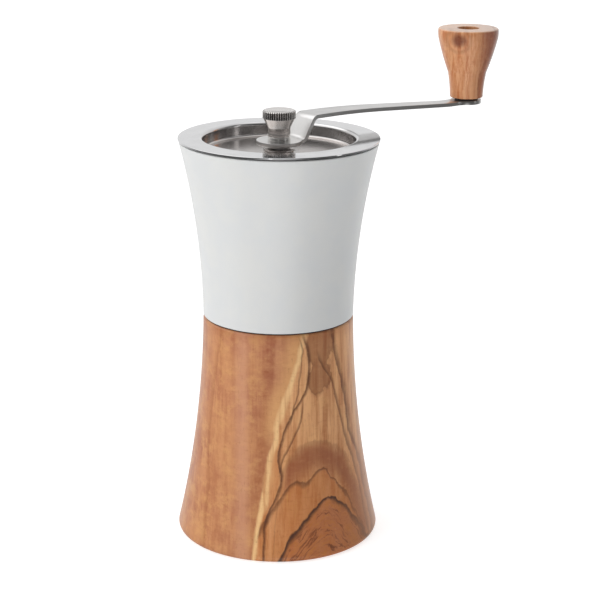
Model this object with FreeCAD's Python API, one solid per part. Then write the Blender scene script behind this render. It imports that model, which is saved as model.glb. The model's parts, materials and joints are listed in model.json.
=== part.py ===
"""Hand crank coffee grinder: a turned wooden grounds container screwed under a white hopper shell.

Frame: origin at the centre of the base's underside, +Z up along the shaft, +X along the crank arm.
Units: millimetres. Every piece is a solid of its own, written to parts/NODE.step.
"""
import FreeCAD
import Part
import math
import os
from FreeCAD import Vector

Z_AXIS = Vector(0, 0, 1)
ORIGIN = Vector(0, 0, 0)

# ---- driving dimensions: the outside ----
BASE_R = 44.0            # base radius before its edge is rounded
BASE_MID_R = 35.75       # base radius at BASE_MID_Z
BASE_MID_Z = 45.0
WAIST_R = 32.0           # radius at the seam, the narrowest place
SEAM_Z = 97.0            # top of the wooden base
SEAM_GAP = 0.5           # thickness of the seal between base and shell
SHELL_MID_R = 34.45
SHELL_MID_Z = 133.0
SHELL_TOP_R = 41.9
SHELL_TOP_Z = 172.3
SHELL_WALL = 2.6
RIM_R = 42.2             # lid flange
RIM_Z = 173.6            # top of the lid flange at its outer edge
RIM_SLOPE = 1.2          # degrees, the flange falls outwards
LID_T = 0.8
LID_WELL_R = 31.8        # inside of the lid's sunk wall
LID_FLOOR_Z = 167.6      # top of the lid's floor

# ---- driving dimensions: crank arm ----
EYE_R = 9.5              # eyelet on the shaft
EYE_TOP_Z = 172.4
ARM_T = 1.65
ARM_REACH = 105.8        # shaft axis to knob axis
ARM_FOOT_WIDTH = 12.0    # at the riser
ARM_TIP_WIDTH = 7.2      # beside the knob's seat
SEAT_R = 6.7             # round end under the knob
RISER_FOOT_X = 8.6
RISER_HEAD_X = 14.1
ARM_CREST_Z = 182.0      # top face just past the riser
ARM_FALL = 3.9           # degrees that the outer half of the strap falls
SEAT_TOP_Z = 178.15

# ---- driving dimensions: knob ----
KNOB_GAP = 1.0
KNOB_H = 30.9
KNOB_TOP_R = 13.5
KNOB_FOOT_R = 7.35
KNOB_RECESS_R = 4.85
KNOB_RECESS_DEPTH = 5.0

# ---- driving dimensions: mechanism ----
SHAFT_R = 3.5
SHAFT_FLAT = 2.5         # axis to drive flat, and radius of both shaft threads
THREAD_PITCH = 4.5       # base thread
COLLAR_ROOT_R = 25.9
COLLAR_CREST_R = 27.1
INSERT_ROOT_R = 27.55
INSERT_CREST_R = 26.35
COLLAR_FOOT_Z = 86.5
BURR_OUTER_R = 17.7
BURR_FOOT_Z = 86.0
BURR_TOP_Z = 101.6
SCREW_CIRCLE_R = 21.9
RUNNING_FIT = 0.05       # radial play of a shaft in its bush
SLIP_FIT = 0.1
FREE_GAP = 0.3           # between curved faces that never touch

# ---- driving dimensions: shaft, bridge and burr carrier ----
PAD_Z = 113.6            # top of the liner's screw posts, where the bridge stands
HUB_FOOT_Z = 114.2
HUB_TOP_Z = 130.0
HUB_BORE_R = 5.0
HUB_R = 7.0
FLANGE_T = 0.9           # flange of each bush
WASHER_R = 6.4
INNER_BURR_Z = 85.0
INNER_BURR_TOP_Z = 101.0
CLICK_T = 0.8
DIAL_H = 7.0
SPRING_SEAT_Z = 99.0
SPRING_TOP_Z = HUB_FOOT_Z - 1.6
CLIP_Z = HUB_TOP_Z + 1.6
SHAFT_FOOT_Z = 75.5
SHAFT_THREAD_Z = INNER_BURR_Z - CLICK_T
HUB_SHOULDER_Z = 169.3   # arm hub stands on this shoulder
SHAFT_TIP_Z = 181.2
THUMB_FOOT_Z = 173.8
THUMB_TOP_Z = 184.95

# ---- lines that several pieces share ----
SHELL_FOOT_Z = SEAM_Z + SEAM_GAP
LIP_FOOT_Z = SHELL_FOOT_Z + 2.0
LIP_TOP_Z = BURR_TOP_Z
MOUTH_STEP_R = 29.2      # step in the base's mouth that takes the threaded ring
MOUTH_STEP_Z = 81.0
LID_HOLE_R = 4.6
AXLE_R = 2.0
SLEEVE_R = 2.9
KNOB_FOOT_Z = SEAT_TOP_Z + KNOB_GAP
KNOB_TOP_Z = KNOB_FOOT_Z + KNOB_H
RECESS_FLOOR_Z = KNOB_TOP_Z - KNOB_RECESS_DEPTH


# ---- small drawing kit ----
def at(r, z):
    """A point of a turned outline."""
    return Vector(r, 0, z)


def outline(start, *steps):
    """Closed wire from (r, z) corners; a step of four numbers is an arc through a middle point."""
    edges = []
    here = at(*start)
    for step in steps + (start,):
        there = at(*step[-2:])
        if len(step) == 4:
            edges.append(Part.Arc(here, at(*step[:2]), there).toShape())
        elif (there - here).Length > 1e-6:
            edges.append(Part.LineSegment(here, there).toShape())
        here = there
    return Part.Wire(edges)


def turned(start, *steps):
    """Solid of revolution about Z."""
    face = Part.Face(outline(start, *steps))
    return face.revolve(ORIGIN, Z_AXIS, 360)


def rod(radius, z0, z1, x=0.0, y=0.0):
    return Part.makeCylinder(radius, z1 - z0, Vector(x, y, z0))


def tube(r_in, r_out, z0, z1):
    return turned((r_in, z0), (r_out, z0), (r_out, z1), (r_in, z1))


def box(x0, x1, y0, y1, z0, z1):
    return Part.makeBox(x1 - x0, y1 - y0, z1 - z0, Vector(x0, y0, z0))


def spun(shape, degrees):
    """A copy turned about the shaft's axis."""
    copy = shape.copy()
    copy.rotate(ORIGIN, Z_AXIS, degrees)
    return copy


def ring_of(shape, count, first=0.0):
    """Copies of a shape, evenly spaced about the shaft's axis."""
    return [spun(shape, first + 360.0 * i / count) for i in range(count)]


def round_edges(solid, radius, picks):
    """Fillet the full-circle edges that lie at the given (r, z) places."""
    chosen = []
    for edge in solid.Edges:
        curve = edge.Curve
        if not isinstance(curve, Part.Circle):
            continue
        for r, z in picks:
            if abs(curve.Radius - r) < 0.02 and abs(curve.Center.z - z) < 0.02:
                chosen.append(edge)
    return solid.makeFillet(radius, chosen)


def double_d(radius, flat, z0, z1):
    """Rod with two flats, at +Y and -Y: the shaft's drive section, or the hole that fits it."""
    return rod(radius, z0, z1).common(box(-radius, radius, -flat, flat, z0, z1))


def helical_ridge(r_foot, r_crest, z0, turns, foot_width, crest_width):
    """One thread ridge on a right-handed helix, with plain ends; r_crest < r_foot makes it internal."""
    path = Part.makeHelix(THREAD_PITCH, THREAD_PITCH * turns, r_foot)
    path.translate(Vector(0, 0, z0))
    half_foot, half_crest = foot_width / 2.0, crest_width / 2.0
    corners = [
        Vector(r_foot, 0, z0 - half_foot),
        Vector(r_crest, 0, z0 - half_crest),
        Vector(r_crest, 0, z0 + half_crest),
        Vector(r_foot, 0, z0 + half_foot),
    ]
    section = Part.makePolygon(corners + corners[:1])
    return Part.Wire(path.Edges).makePipeShell([section], True, True)


def v_groove(mouth_r, root_r, half_width, z0, z1, r_shift, slant):
    """V-shaped cutter from z0 to z1, drifting by r_shift outwards and by slant sideways as it rises."""
    corners = [Vector(mouth_r, -half_width, z0), Vector(root_r, 0, z0), Vector(mouth_r, half_width, z0)]
    section = Part.Face(Part.makePolygon(corners + corners[:1]))
    return section.extrude(Vector(r_shift, slant, z1 - z0))


# ---- outer curves ----
def circle_through(a, b, c):
    """Centre and radius of the circle through three (r, z) points."""
    circle = Part.Arc(at(*a), at(*b), at(*c)).toShape().Curve
    return (circle.Center.x, circle.Center.z), circle.Radius


SHELL_CENTRE, SHELL_CURVE = circle_through(
    (WAIST_R, SHELL_FOOT_Z), (SHELL_MID_R, SHELL_MID_Z), (SHELL_TOP_R, SHELL_TOP_Z))


def shell_radius(z, inset=0.0):
    """Radius of the shell's waisted outside at height z, or of a wall face inset from it."""
    return SHELL_CENTRE[0] - math.sqrt((SHELL_CURVE + inset) ** 2 - (z - SHELL_CENTRE[1]) ** 2)


# ---- base ----
def make_base_cup():
    """Turned wooden container: waisted outside, plain bore, step at the mouth for the threaded ring."""
    floor_z, bore_r, corner = 9.0, 25.6, 8.0
    blank = turned((0, 0), (BASE_R, 0), (BASE_MID_R, BASE_MID_Z, WAIST_R, SEAM_Z), (0, SEAM_Z))
    blank = round_edges(blank, 2.0, [(BASE_R, 0)])
    blank = round_edges(blank, 0.5, [(WAIST_R, SEAM_Z)])
    bend = corner * (1 - math.sqrt(0.5))
    bore = turned((0, floor_z), (bore_r - corner, floor_z),
                  (bore_r - bend, floor_z + bend, bore_r, floor_z + corner),
                  (bore_r, MOUTH_STEP_Z), (MOUTH_STEP_R, MOUTH_STEP_Z),
                  (MOUTH_STEP_R, SEAM_Z + 1), (0, SEAM_Z + 1))
    return blank.cut(bore)


def make_thread_insert():
    """Ring glued in the base's mouth, with one and a half turns of internal thread."""
    foot_z = MOUTH_STEP_Z
    ring = turned((INSERT_CREST_R, foot_z), (MOUTH_STEP_R, foot_z), (MOUTH_STEP_R, SEAM_Z),
                  (INSERT_ROOT_R + 0.6, SEAM_Z), (INSERT_ROOT_R, SEAM_Z - 0.6),
                  (INSERT_ROOT_R, foot_z + 2.5), (INSERT_CREST_R, foot_z + 1.5))
    ridge = helical_ridge(INSERT_ROOT_R + 0.2, INSERT_CREST_R, foot_z + 5.0, 1.5, 1.9, 0.9)
    return ring.fuse(ridge)


def make_seam_gasket():
    return tube(27.9, WAIST_R - 0.7, SEAM_Z, SHELL_FOOT_Z)


# ---- upper half ----
def make_upper_shell():
    """White outer shell: an even wall that follows the waist, with an inward lip at its foot."""
    lip_r = 20.0
    counterbore_r = WAIST_R - SHELL_WALL
    mid_z = (LIP_TOP_Z + SHELL_TOP_Z) / 2.0
    shell = turned(
        (counterbore_r, SHELL_FOOT_Z), (WAIST_R, SHELL_FOOT_Z),
        (SHELL_MID_R, SHELL_MID_Z, SHELL_TOP_R, SHELL_TOP_Z),
        (shell_radius(SHELL_TOP_Z, SHELL_WALL), SHELL_TOP_Z),
        (shell_radius(mid_z, SHELL_WALL), mid_z, shell_radius(LIP_TOP_Z, SHELL_WALL), LIP_TOP_Z),
        (lip_r, LIP_TOP_Z), (lip_r, LIP_FOOT_Z), (counterbore_r, LIP_FOOT_Z))
    shell = round_edges(shell, 1.7, [(SHELL_TOP_R, SHELL_TOP_Z)])
    shell = round_edges(shell, 0.4, [(WAIST_R, SHELL_FOOT_Z)])
    screw_way = rod(1.5, LIP_FOOT_Z - 1, LIP_TOP_Z + 1, SCREW_CIRCLE_R)
    return shell.cut(Part.makeCompound(ring_of(screw_way, 3, 60)))


def make_burr_housing():
    """Seat for the outer burr, clamping flange and threaded collar, in one moulding."""
    seat_r, seat_wall_r = BURR_OUTER_R + 0.1, 19.4
    lip_r = 16.4
    seat_foot_z = BURR_FOOT_Z - 2.0
    flange_r = WAIST_R - SHELL_WALL - 0.15
    body = turned(
        (lip_r, seat_foot_z), (seat_wall_r, seat_foot_z), (seat_wall_r, SHELL_FOOT_Z),
        (24.2, SHELL_FOOT_Z), (24.2, COLLAR_FOOT_Z), (COLLAR_ROOT_R, COLLAR_FOOT_Z),
        (COLLAR_ROOT_R, SHELL_FOOT_Z - 1.0), (COLLAR_ROOT_R + 1.0, SHELL_FOOT_Z),
        (flange_r, SHELL_FOOT_Z), (flange_r, LIP_FOOT_Z), (seat_wall_r, LIP_FOOT_Z),
        (seat_wall_r, BURR_TOP_Z), (seat_r, BURR_TOP_Z), (seat_r, BURR_FOOT_Z), (lip_r, BURR_FOOT_Z))
    ridge = helical_ridge(COLLAR_ROOT_R - 0.2, COLLAR_CREST_R, 88.3, 1.3, 1.9, 0.9)
    body = body.fuse(ridge)
    screw_way = rod(1.3, SHELL_FOOT_Z - 1, LIP_FOOT_Z + 1, SCREW_CIRCLE_R)
    key_way = box(seat_r - 1, seat_wall_r + 1, -2.1, 2.1, BURR_TOP_Z - 3.0, BURR_TOP_Z + 1)
    return body.cut(Part.makeCompound(ring_of(screw_way, 3, 60) + ring_of(key_way, 3)))


def make_outer_burr():
    """Ceramic ring: 36 fine grooves in the flared foot, 9 coarse ones above, three keys at the top."""
    throat_r, foot_r = 12.2, 14.3
    fine_z = BURR_FOOT_Z + 6.0
    ring = turned(
        (foot_r, BURR_FOOT_Z), (BURR_OUTER_R, BURR_FOOT_Z), (BURR_OUTER_R, BURR_TOP_Z),
        (14.6, BURR_TOP_Z), (throat_r, BURR_TOP_Z - 3.0), (throat_r, fine_z))
    key = box(BURR_OUTER_R - 1, 19.3, -1.9, 1.9, BURR_TOP_Z - 2.8, BURR_TOP_Z)
    ring = ring.fuse(ring_of(key, 3)).removeSplitter()
    fine = v_groove(13.6, 15.1, 0.75, BURR_FOOT_Z - 0.5, BURR_FOOT_Z + 5.5, -1.9, 1.6)
    coarse = v_groove(11.0, 14.6, 2.6, BURR_FOOT_Z + 5.0, BURR_TOP_Z + 0.5, 1.2, -4.5)
    return ring.cut(ring_of(fine, 36)).cut(ring_of(coarse, 9))


def make_hopper_liner():
    """Lining of the shell, funnel and three screw posts."""
    top_z = SHELL_TOP_Z
    wall_inset = SHELL_WALL + FREE_GAP
    wall = 1.8
    funnel_top_z, foot_z = 116.0, LIP_TOP_Z
    throat_r = 15.2
    inside_inset = wall_inset + wall
    mid_z = (funnel_top_z + top_z) / 2.0
    funnel_out_r = shell_radius(funnel_top_z - 1.5, wall_inset)
    out_mid_z = (funnel_top_z - 1.5 + top_z) / 2.0
    body = turned(
        (throat_r, foot_z), (shell_radius(foot_z, wall_inset), foot_z),
        (shell_radius(foot_z + 1.6, wall_inset), foot_z + 1.6), (throat_r + 1.9, foot_z + 1.6),
        (funnel_out_r, funnel_top_z - 1.5),
        (shell_radius(out_mid_z, wall_inset), out_mid_z, shell_radius(top_z, wall_inset), top_z),
        (shell_radius(top_z, inside_inset), top_z),
        (shell_radius(mid_z, inside_inset), mid_z, shell_radius(funnel_top_z, inside_inset), funnel_top_z),
        (throat_r, foot_z + 2.2))
    post = rod(3.2, foot_z, PAD_Z, SCREW_CIRCLE_R)
    body = body.fuse(ring_of(post, 3, 60))
    screw_way = rod(1.3, foot_z - 1, PAD_Z + 1, SCREW_CIRCLE_R)
    return body.cut(Part.makeCompound(ring_of(screw_way, 3, 60)))


def make_bearing_bridge():
    """Three-legged support of the shaft, with a long hub."""
    hub = turned((HUB_BORE_R, HUB_FOOT_Z), (HUB_R, HUB_FOOT_Z), (HUB_R, HUB_TOP_Z - 1.0),
                 (HUB_R - 1.0, HUB_TOP_Z), (HUB_BORE_R, HUB_TOP_Z))
    foot = rod(3.2, PAD_Z, HUB_FOOT_Z + 3.0, SCREW_CIRCLE_R)
    web = [Vector(HUB_R - 0.8, -1.3, HUB_FOOT_Z), Vector(SCREW_CIRCLE_R, -1.3, HUB_FOOT_Z),
           Vector(SCREW_CIRCLE_R, -1.3, HUB_FOOT_Z + 3.0), Vector(HUB_R - 0.8, -1.3, HUB_TOP_Z - 5.0)]
    leg = Part.Face(Part.makePolygon(web + web[:1])).extrude(Vector(0, 2.6, 0))
    bridge = hub.fuse(ring_of(foot, 3, 60) + ring_of(leg, 3, 60))
    screw_hole = rod(1.15, PAD_Z - 1, HUB_FOOT_Z + 1.0, SCREW_CIRCLE_R)
    return bridge.cut(Part.makeCompound(ring_of(screw_hole, 3, 60)))


def make_bush(face_z, deep_z):
    """Flanged bush in the bridge's hub; its flange lies on the hub's end face."""
    bore_r = SHAFT_R + RUNNING_FIT
    outward = 1.0 if face_z > deep_z else -1.0
    return turned((bore_r, deep_z), (HUB_BORE_R, deep_z), (HUB_BORE_R, face_z), (HUB_R - 0.6, face_z),
                  (HUB_R - 0.6, face_z + outward * FLANGE_T), (bore_r, face_z + outward * FLANGE_T))


def make_housing_screws():
    """Three pan-head screws that clamp housing, shell, liner and bridge together."""
    head_z = SHELL_FOOT_Z
    shank = rod(1.1, head_z - 0.5, HUB_FOOT_Z, SCREW_CIRCLE_R)
    head = rod(2.2, head_z - 1.6, head_z, SCREW_CIRCLE_R)
    head = head.makeFillet(0.5, [e for e in head.Edges
                                 if isinstance(e.Curve, Part.Circle) and e.Curve.Center.z < head_z - 1])
    slots = [box(SCREW_CIRCLE_R - a, SCREW_CIRCLE_R + a, -b, b, head_z - 2, head_z - 0.8)
             for a, b in ((1.3, 0.25), (0.25, 1.3))]
    screw = head.fuse(shank).cut(slots[0].fuse(slots[1])).removeSplitter()
    return Part.makeCompound(ring_of(screw, 3, 60))


# ---- shaft and inner burr ----
def make_drive_shaft():
    """Round shaft with two drive flats and a thread at each end, and a groove for the clip."""
    drive_z = SHAFT_THREAD_Z + 0.5
    lower_thread = turned((0, SHAFT_FOOT_Z), (SHAFT_FLAT - 0.5, SHAFT_FOOT_Z),
                          (SHAFT_FLAT, SHAFT_FOOT_Z + 0.5), (SHAFT_FLAT, drive_z), (0, drive_z))
    lower_drive = double_d(SHAFT_R, SHAFT_FLAT, drive_z, INNER_BURR_TOP_Z + 1.5)
    middle = rod(SHAFT_R, INNER_BURR_TOP_Z + 1.5, HUB_SHOULDER_Z)
    groove = tube(SHAFT_R - 0.6, SHAFT_R + 1, CLIP_Z, CLIP_Z + 1.0)
    upper_drive = double_d(SHAFT_R, SHAFT_FLAT, HUB_SHOULDER_Z, EYE_TOP_Z - 0.2)
    tip = turned((0, EYE_TOP_Z - 0.2), (SHAFT_FLAT, EYE_TOP_Z - 0.2), (SHAFT_FLAT, SHAFT_TIP_Z - 0.5),
                 (SHAFT_FLAT - 0.5, SHAFT_TIP_Z), (0, SHAFT_TIP_Z))
    return lower_thread.fuse([lower_drive, middle.cut(groove), upper_drive, tip]).removeSplitter()


def make_retaining_clip():
    """E-clip in the shaft's groove."""
    ring = tube(SHAFT_R - 0.6, 6.0, CLIP_Z, CLIP_Z + 0.9)
    mouth = box(0, 8, -SHAFT_R + 0.8, SHAFT_R - 0.8, CLIP_Z - 1, CLIP_Z + 2)
    return ring.cut(mouth)


def make_burr_spring():
    """Compression spring round the shaft, from its washer down into the inner burr."""
    wire_r, mean_r, turns = 0.6, 5.3, 5.0
    z0, z1 = SPRING_SEAT_Z + wire_r + 0.05, SPRING_TOP_Z - wire_r - 0.05
    path = Part.makeHelix((z1 - z0) / turns, z1 - z0, mean_r)
    section = Part.Wire(Part.makeCircle(wire_r, Vector(mean_r, 0, 0), Vector(0, 1, 0)))
    coil = Part.Wire(path.Edges).makePipeShell([section], True, True)
    coil.translate(Vector(0, 0, z0))
    return coil


def make_inner_burr():
    """Ceramic cone: spiral ribs above, fine teeth at its wide foot."""
    foot_r, waist_r, neck_r = 13.75, 11.3, 8.2
    cone = turned((0, INNER_BURR_Z), (foot_r, INNER_BURR_Z), (foot_r, INNER_BURR_Z + 1.2),
                  (waist_r, INNER_BURR_Z + 7.0), (neck_r, INNER_BURR_TOP_Z), (0, INNER_BURR_TOP_Z))
    bore = double_d(SHAFT_R + RUNNING_FIT, SHAFT_FLAT + SLIP_FIT, INNER_BURR_Z - 1, INNER_BURR_TOP_Z + 1)
    seat = tube(0.01, 6.3, SPRING_SEAT_Z, INNER_BURR_TOP_Z + 1)
    cone = cone.cut(bore.fuse(seat))
    fine = v_groove(15.2, 12.9, 0.9, INNER_BURR_Z - 0.5, INNER_BURR_Z + 7.0, -2.3, -1.6)
    coarse = v_groove(15.0, 9.6, 2.9, INNER_BURR_Z + 6.2, INNER_BURR_TOP_Z + 0.5, -2.0, 4.0)
    return cone.cut(ring_of(fine, 32)).cut(ring_of(coarse, 7))


def make_click_washer():
    """Detent washer between burr and dial, keyed to the shaft's flats."""
    plate = rod(8.5, INNER_BURR_Z - CLICK_T, INNER_BURR_Z)
    hole = double_d(SHAFT_R + RUNNING_FIT, SHAFT_FLAT + SLIP_FIT, INNER_BURR_Z - 2, INNER_BURR_Z + 1)
    return plate.cut(hole)


def make_adjust_dial():
    """Grind dial: scalloped grip with a hexagonal pocket for its brass nut."""
    top_z = SHAFT_THREAD_Z
    foot_z = top_z - DIAL_H
    dial = turned((0, foot_z), (8.6, foot_z), (9.6, foot_z + 1.0), (9.6, top_z - 0.6), (9.0, top_z), (0, top_z))
    scallop = rod(1.3, foot_z - 1, top_z + 1, 10.3)
    dial = dial.cut(Part.makeCompound(ring_of(scallop, 12)))
    return dial.cut(hexagon(4.6, foot_z + 1.5, top_z + 1)).cut(rod(3.1, foot_z - 1, top_z))


def hexagon(corner_r, z0, z1):
    corners = [Vector(corner_r * math.cos(math.radians(60 * i)), corner_r * math.sin(math.radians(60 * i)), z0)
               for i in range(7)]
    return Part.Face(Part.makePolygon(corners)).extrude(Vector(0, 0, z1 - z0))


def make_dial_nut():
    """Brass nut moulded in the dial."""
    top_z = SHAFT_THREAD_Z
    return hexagon(4.55, top_z - DIAL_H + 1.5, top_z).cut(rod(SHAFT_FLAT + RUNNING_FIT, 0, top_z + 1))


# ---- lid ----
def make_hopper_lid():
    """Pressed dish with a wide flange; the sheet has an even thickness."""
    fall = math.tan(math.radians(RIM_SLOPE))
    bend = 1.6
    floor_bend = 1.2
    top_in_r = LID_WELL_R + bend
    top_in_z = RIM_Z + fall * (RIM_R - top_in_r)
    knee = bend * (1 - math.sqrt(0.5))
    floor_knee = floor_bend * (1 - math.sqrt(0.5))
    out_r = LID_WELL_R + LID_T
    under_bend = bend - LID_T
    under_knee = under_bend * (1 - math.sqrt(0.5))
    under_z = top_in_z - LID_T
    lid = turned(
        (LID_HOLE_R, LID_FLOOR_Z - LID_T), (LID_WELL_R - floor_bend, LID_FLOOR_Z - LID_T),
        (out_r - floor_knee - 0.23, LID_FLOOR_Z - LID_T + floor_knee + 0.23, out_r, LID_FLOOR_Z + floor_bend),
        (out_r, under_z - under_bend), (out_r + under_knee, under_z - under_knee, out_r + under_bend, under_z),
        (RIM_R - 0.25, RIM_Z - LID_T), (RIM_R, RIM_Z - LID_T + 0.3),
        (RIM_R, RIM_Z - 0.25), (RIM_R - 0.25, RIM_Z),
        (top_in_r, top_in_z), (LID_WELL_R + knee, top_in_z - knee, LID_WELL_R, top_in_z - bend),
        (LID_WELL_R, LID_FLOOR_Z + floor_bend),
        (LID_WELL_R - floor_knee, LID_FLOOR_Z + floor_knee, LID_WELL_R - floor_bend, LID_FLOOR_Z),
        (LID_HOLE_R, LID_FLOOR_Z))
    return lid


def make_lid_grommet():
    """Ring riveted in the lid's hole; the shaft passes through it."""
    bore_r, foot_z = SHAFT_R + 0.35, LID_FLOOR_Z - 2.0
    return turned(
        (bore_r, foot_z), (5.9, foot_z), (5.9, LID_FLOOR_Z - LID_T), (LID_HOLE_R, LID_FLOOR_Z - LID_T),
        (LID_HOLE_R, LID_FLOOR_Z), (6.9, LID_FLOOR_Z), (6.2, LID_FLOOR_Z + 0.35),
        (6.45, LID_FLOOR_Z + 0.8, 6.0, LID_FLOOR_Z + 1.3), (bore_r, LID_FLOOR_Z + 1.3))


# ---- crank ----
def strap_path():
    """Top line of the strap in the XZ plane: corners, and the radius that rounds each of them."""
    fall = math.tan(math.radians(ARM_FALL))
    seat_start_x = ARM_REACH - 9.0
    slope_start_x = RISER_HEAD_X + 22.5
    slope_start_z = ARM_CREST_Z
    seat_corner_x = slope_start_x + (slope_start_z - SEAT_TOP_Z) / fall
    return [
        (Vector(-EYE_R - 1, 0, EYE_TOP_Z), 0.0),
        (Vector(RISER_FOOT_X, 0, EYE_TOP_Z), 2.2),
        (Vector(RISER_HEAD_X, 0, ARM_CREST_Z), 3.6),
        (Vector(slope_start_x, 0, slope_start_z), 470.0),
        (Vector(min(seat_corner_x, seat_start_x), 0, SEAT_TOP_Z), 103.0),
        (Vector(ARM_REACH + SEAT_R + 1, 0, SEAT_TOP_Z), 0.0),
    ]


def rounded_line(corners):
    """Lines and tangent arcs along corners given as (point, radius)."""
    edges = []
    here = corners[0][0]
    for i in range(1, len(corners) - 1):
        corner, radius = corners[i]
        inward = (corner - corners[i - 1][0]).normalize()
        outward = (corners[i + 1][0] - corner).normalize()
        half_turn = inward.getAngle(outward) / 2.0
        reach = radius * math.tan(half_turn)
        start, end = corner - inward * reach, corner + outward * reach
        middle = corner + (outward - inward).normalize() * (radius / math.cos(half_turn) - radius)
        edges.append(Part.LineSegment(here, start).toShape())
        edges.append(Part.Arc(start, middle, end).toShape())
        here = end
    edges.append(Part.LineSegment(here, corners[-1][0]).toShape())
    return Part.Wire(edges)


def make_crank_arm():
    """Bent strap: round eyelet on the shaft, riser, tapering strap, round seat under the knob."""
    top = rounded_line(strap_path())
    bottom = top.makeOffset2D(ARM_T, 1, False, True)
    if bottom.BoundBox.ZMin > top.BoundBox.ZMin:
        bottom = top.makeOffset2D(-ARM_T, 1, False, True)
    band = side_band(top, bottom).extrude(Vector(0, 40, 0))
    band.translate(Vector(0, -20, 0))
    z0, z1 = EYE_TOP_Z - 5, ARM_CREST_Z + 5
    foot_y, tip_y = ARM_FOOT_WIDTH / 2.0, ARM_TIP_WIDTH / 2.0
    plan = [Vector(2.0, -foot_y - 0.3, z0), Vector(ARM_REACH - 3, -tip_y, z0),
            Vector(ARM_REACH - 3, tip_y, z0), Vector(2.0, foot_y + 0.3, z0)]
    strap = Part.Face(Part.makePolygon(plan + plan[:1])).extrude(Vector(0, 0, z1 - z0))
    blank = strap.fuse([rod(EYE_R, z0, z1), rod(SEAT_R, z0, z1, ARM_REACH)]).removeSplitter()
    inside = [e for e in blank.Edges if e.Length > 10 and abs(e.tangentAt(e.FirstParameter).z) > 0.99
              and seat_corner(e)]
    blank = blank.makeFillet(6.0, inside)
    arm = band.common(blank)
    arm = arm.cut(double_d(SHAFT_R + RUNNING_FIT, SHAFT_FLAT + SLIP_FIT, 160, 175))
    arm = arm.cut(rod(AXLE_R, SEAT_TOP_Z - 5, SEAT_TOP_Z + 1, ARM_REACH))
    return arm.Solids[0]


def seat_corner(edge):
    """True for the inner corner where the strap meets its round seat."""
    x = edge.Vertexes[0].X
    return ARM_REACH - 2 * SEAT_R < x < ARM_REACH - 1


def side_band(top, bottom):
    """Face between two lines that run side by side."""
    a0, a1 = top.OrderedVertexes[0].Point, top.OrderedVertexes[-1].Point
    b0, b1 = bottom.OrderedVertexes[0].Point, bottom.OrderedVertexes[-1].Point
    if (a0 - b0).Length > (a0 - b1).Length:
        b0, b1 = b1, b0
    ends = [Part.LineSegment(a0, b0).toShape(), Part.LineSegment(a1, b1).toShape()]
    wire = Part.Wire(Part.__sortEdges__(top.Edges + bottom.Edges + ends))
    return Part.Face(wire)


def make_arm_hub():
    """Flange riveted under the eyelet; it stands on the shaft's shoulder."""
    top_z = EYE_TOP_Z - ARM_T
    hub = turned((0, HUB_SHOULDER_Z), (4.9, HUB_SHOULDER_Z), (4.9, HUB_SHOULDER_Z + 0.4),
                 (5.7, HUB_SHOULDER_Z + 0.5), (5.7, top_z), (0, top_z))
    return hub.cut(double_d(SHAFT_R + RUNNING_FIT, SHAFT_FLAT + SLIP_FIT, 160, 175))


def make_thumb_screw():
    """Knurled cap on a waisted neck, bored from below for the shaft's upper thread."""
    cap_r, neck_r = 6.95, 4.8
    knurl_z0, knurl_z1 = 181.6, 184.3
    blank = turned(
        (0, THUMB_FOOT_Z), (neck_r - 0.3, THUMB_FOOT_Z), (neck_r, THUMB_FOOT_Z + 0.3), (neck_r, 177.4),
        (5.65, 179.5, 6.7, knurl_z0), (cap_r, knurl_z0 + 0.2), (cap_r, knurl_z1),
        (cap_r - 0.25, knurl_z1 + 0.45, cap_r - 1.2, THUMB_TOP_Z - 0.15), (0, THUMB_TOP_Z))
    blank = blank.cut(rod(SHAFT_FLAT + SLIP_FIT, THUMB_FOOT_Z - 1, SHAFT_TIP_Z + 0.3))
    depth, half_width, ridges = 0.36, 0.4, 44
    notch = [Vector(cap_r + 0.1, -half_width, knurl_z0 - 0.3), Vector(cap_r - depth, 0, knurl_z0 - 0.3),
             Vector(cap_r + 0.1, half_width, knurl_z0 - 0.3)]
    cutter = Part.Face(Part.makePolygon(notch + notch[:1])).extrude(Vector(0, 0, knurl_z1 - knurl_z0 + 0.4))
    return blank.cut(Part.makeCompound(ring_of(cutter, ridges)))


def make_thumb_washer():
    outer_r = 4.7
    washer = tube(SHAFT_FLAT + SLIP_FIT, outer_r, EYE_TOP_Z, THUMB_FOOT_Z)
    return round_edges(washer, 0.25, [(outer_r, EYE_TOP_Z), (outer_r, THUMB_FOOT_Z)])


# ---- knob ----
def make_knob():
    """Turned wooden knob: rounded crown, flaring waist, narrow foot; bored for its sleeve."""
    crown_z = KNOB_TOP_Z - 2.6
    swell_z = KNOB_TOP_Z - 12.0
    waist_z = KNOB_TOP_Z - 19.5
    knob = turned(
        (SLEEVE_R, KNOB_FOOT_Z), (KNOB_FOOT_R - 0.5, KNOB_FOOT_Z),
        (KNOB_FOOT_R - 0.15, KNOB_FOOT_Z + 0.15, KNOB_FOOT_R, KNOB_FOOT_Z + 0.5),
        (7.7, KNOB_FOOT_Z + 5.5, 8.6, waist_z),
        (11.25, swell_z + 0.25, 13.1, crown_z - 2.3),
        (KNOB_TOP_R, crown_z, 13.3, KNOB_TOP_Z - 1.0),
        (12.7, KNOB_TOP_Z - 0.25, 11.6, KNOB_TOP_Z),
        (KNOB_RECESS_R + 0.4, KNOB_TOP_Z),
        (KNOB_RECESS_R + 0.1, KNOB_TOP_Z - 0.1, KNOB_RECESS_R, KNOB_TOP_Z - 0.4),
        (KNOB_RECESS_R, RECESS_FLOOR_Z), (SLEEVE_R, RECESS_FLOOR_Z))
    knob.translate(Vector(ARM_REACH, 0, 0))
    return knob


def make_knob_sleeve():
    sleeve = tube(AXLE_R + RUNNING_FIT, SLEEVE_R, KNOB_FOOT_Z, RECESS_FLOOR_Z)
    sleeve.translate(Vector(ARM_REACH, 0, 0))
    return sleeve


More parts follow.
